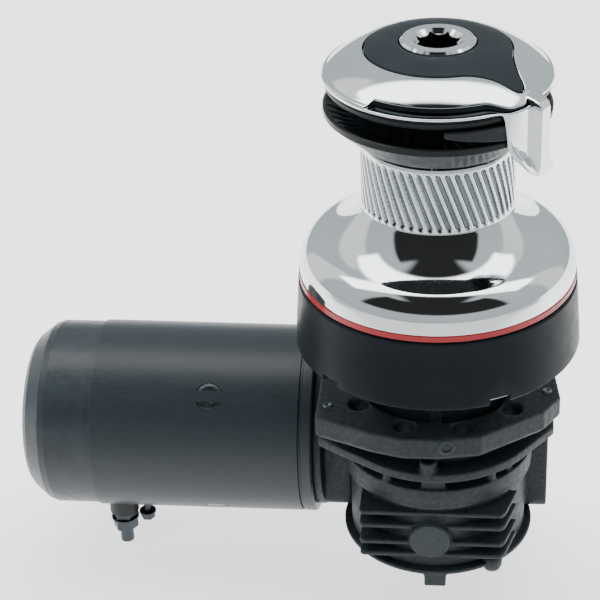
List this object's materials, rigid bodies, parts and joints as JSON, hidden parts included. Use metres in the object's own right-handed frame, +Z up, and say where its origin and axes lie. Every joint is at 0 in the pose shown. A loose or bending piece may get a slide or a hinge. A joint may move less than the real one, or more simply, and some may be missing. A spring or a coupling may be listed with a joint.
{
  "type": "electric self-tailing winch",
  "caption": "Electric two-speed self-tailing sailboat winch: chrome drum and cap above deck, worm gearbox and horizontal motor below.",
  "frame": {"origin": "winch axis at the deck plane, on the underside of the base flange", "axes": "+Z up along the drum axis; the motor lies along -X; the gearbox front faces -Y"},
  "size_m": [0.3205, 0.1739, 0.34],
  "materials": {
    "chrome": "mirror polished chrome plate",
    "black_plastic": "satin black moulded plastic",
    "slate_plastic": "matt slate-grey moulded plastic",
    "red_plastic": "glossy red",
    "jaw_plastic": "satin black glass-filled plastic",
    "base_metal": "bead-blasted alloy",
    "gear_steel": "machined hardened steel",
    "stainless": "turned stainless steel",
    "bronze": "machined bronze",
    "cast_paint": "dark grey paint on a grained casting",
    "motor_paint": "dark blue-grey satin paint",
    "seal_rubber": "black rubber",
    "zinc_steel": "zinc plated steel",
    "copper": "copper",
    "insulator": "black phenolic",
    "carbon": "pressed carbon"
  },
  "bodies": {
    "frame": {"base": "base_metal", "base_skirt": "black_plastic", "stem_retainer": "bronze", "low_spindle": "stainless", "high_spindle": "stainless", "idler_spindle": "stainless", "shaft_bushes": "bronze", "top_cover": "chrome", "cover_insert": "slate_plastic", "line_feeder": "jaw_plastic", "cover_screws": "stainless", "adapter_plate": "cast_paint", "plate_screws": "zinc_steel", "gearbox_flange": "cast_paint", "flange_screws": "zinc_steel", "gear_housing": "cast_paint", "housing_plug": "cast_paint", "bottom_cover": "cast_paint", "bottom_screws": "zinc_steel", "tunnel_cap": "cast_paint", "wheel_bearings": "gear_steel", "shaft_bearings": "gear_steel", "shaft_seal": "seal_rubber", "motor_neck": "cast_paint", "motor_body": "motor_paint", "motor_end_cap": "motor_paint", "pole_shoes": "gear_steel", "field_coils": "copper", "pole_screws": "motor_paint", "brush_holder": "insulator", "brushes": "carbon", "brush_springs": "stainless", "terminal_stud": "zinc_steel", "terminal_insulator": "insulator"},
    "drum": {"drum": "chrome", "stripe_ring": "red_plastic", "upper_jaw": "jaw_plastic", "jaw_screws": "stainless", "jaw_springs": "stainless"},
    "lower_jaw": {"lower_jaw": "jaw_plastic"},
    "main_shaft": {"main_shaft": "gear_steel", "handle_socket": "chrome", "shaft_pawl_pins": "stainless"},
    "shaft_pawl_a": {"shaft_pawl_a": "gear_steel"},
    "shaft_pawl_b": {"shaft_pawl_b": "gear_steel"},
    "low_pinion": {"low_pinion": "gear_steel", "pinion_pawl_pins": "stainless"},
    "pinion_pawl_a": {"pinion_pawl_a": "gear_steel"},
    "pinion_pawl_b": {"pinion_pawl_b": "gear_steel"},
    "low_gear": {"low_gear": "bronze"},
    "high_cluster": {"high_cluster": "gear_steel"},
    "idler_gear": {"idler_gear": "gear_steel"},
    "high_wheel": {"high_wheel": "bronze"},
    "upper_bearing": {"upper_bearing": "stainless"},
    "lower_bearing": {"lower_bearing": "stainless"},
    "armature": {"armature": "gear_steel", "commutator": "copper", "worm_shaft": "gear_steel"},
    "worm_wheel": {"worm_wheel": "bronze", "overrunning_clutch": "gear_steel"}
  },
  "joints": [
    {"name": "drum_spin", "type": "hinge", "parent": "frame", "child": "drum", "pos_m": [0, 0, 0.05], "axis": [0, 0, 1], "continuous": true},
    {"name": "jaw_slide", "type": "slide", "parent": "drum", "child": "lower_jaw", "axis": [0, 0, 1], "range_m": [-0.002, 0], "stiffness_N_per_m": 4000, "springref_m": 0.001, "deforming": ["jaw_springs"]},
    {"name": "shaft_spin", "type": "hinge", "parent": "frame", "child": "main_shaft", "pos_m": [0, 0, 0.05], "axis": [0, 0, 1], "continuous": true},
    {"name": "shaft_pawl_a_rock", "type": "hinge", "parent": "main_shaft", "child": "shaft_pawl_a", "pos_m": [-0.005, 0.0126, 0], "axis": [0, 0, 1], "range_deg": [0, 15]},
    {"name": "shaft_pawl_b_rock", "type": "hinge", "parent": "main_shaft", "child": "shaft_pawl_b", "pos_m": [0.005, -0.0126, 0], "axis": [0, 0, 1], "range_deg": [0, 15]},
    {"name": "low_pinion_spin", "type": "hinge", "parent": "frame", "child": "low_pinion", "pos_m": [0.0356, 0.02586, 0.03], "axis": [0, 0, 1], "continuous": true},
    {"name": "pinion_pawl_a_rock", "type": "hinge", "parent": "low_pinion", "child": "pinion_pawl_a", "pos_m": [0.0406, 0.03846, 0], "axis": [0, 0, 1], "range_deg": [-15, 0]},
    {"name": "pinion_pawl_b_rock", "type": "hinge", "parent": "low_pinion", "child": "pinion_pawl_b", "pos_m": [0.0306, 0.01326, 0], "axis": [0, 0, 1], "range_deg": [-15, 0]},
    {"name": "low_gear_spin", "type": "hinge", "parent": "frame", "child": "low_gear", "pos_m": [0.0356, 0.02586, 0.017], "axis": [0, 0, 1], "continuous": true},
    {"name": "high_cluster_spin", "type": "hinge", "parent": "frame", "child": "high_cluster", "pos_m": [-0.044, 0, 0.03], "axis": [0, 0, 1], "continuous": true},
    {"name": "idler_spin", "type": "hinge", "parent": "frame", "child": "idler_gear", "pos_m": [-0.02905, 0.02127, 0.03], "axis": [0, 0, 1], "continuous": true},
    {"name": "high_wheel_spin", "type": "hinge", "parent": "frame", "child": "high_wheel", "pos_m": [0, 0, 0.031], "axis": [0, 0, 1], "continuous": true},
    {"name": "upper_bearing_spin", "type": "hinge", "parent": "frame", "child": "upper_bearing", "pos_m": [0, 0, 0.105], "axis": [0, 0, 1], "continuous": true},
    {"name": "lower_bearing_spin", "type": "hinge", "parent": "frame", "child": "lower_bearing", "pos_m": [0, 0, 0.075], "axis": [0, 0, 1], "continuous": true},
    {"name": "armature_spin", "type": "hinge", "parent": "frame", "child": "armature", "pos_m": [-0.1, 0.04, -0.087], "axis": [1, 0, 0], "continuous": true},
    {"name": "worm_wheel_spin", "type": "hinge", "parent": "frame", "child": "worm_wheel", "pos_m": [0, 0, -0.087], "axis": [0, 0, 1], "continuous": true}
  ],
  "couplings": [
    {"joint": "low_pinion_spin", "follows": "drum_spin", "ratio": 3.4444},
    {"joint": "low_gear_spin", "follows": "drum_spin", "ratio": 3.4444},
    {"joint": "shaft_spin", "follows": "drum_spin", "ratio": -4.9753},
    {"joint": "high_cluster_spin", "follows": "drum_spin", "ratio": 3.4444},
    {"joint": "idler_spin", "follows": "drum_spin", "ratio": -4.0185},
    {"joint": "high_wheel_spin", "follows": "drum_spin", "ratio": 2.0093},
    {"joint": "upper_bearing_spin", "follows": "drum_spin", "ratio": 0.54839},
    {"joint": "lower_bearing_spin", "follows": "drum_spin", "ratio": 0.54839},
    {"joint": "worm_wheel_spin", "follows": "armature_spin", "ratio": 0.04}
  ]
}
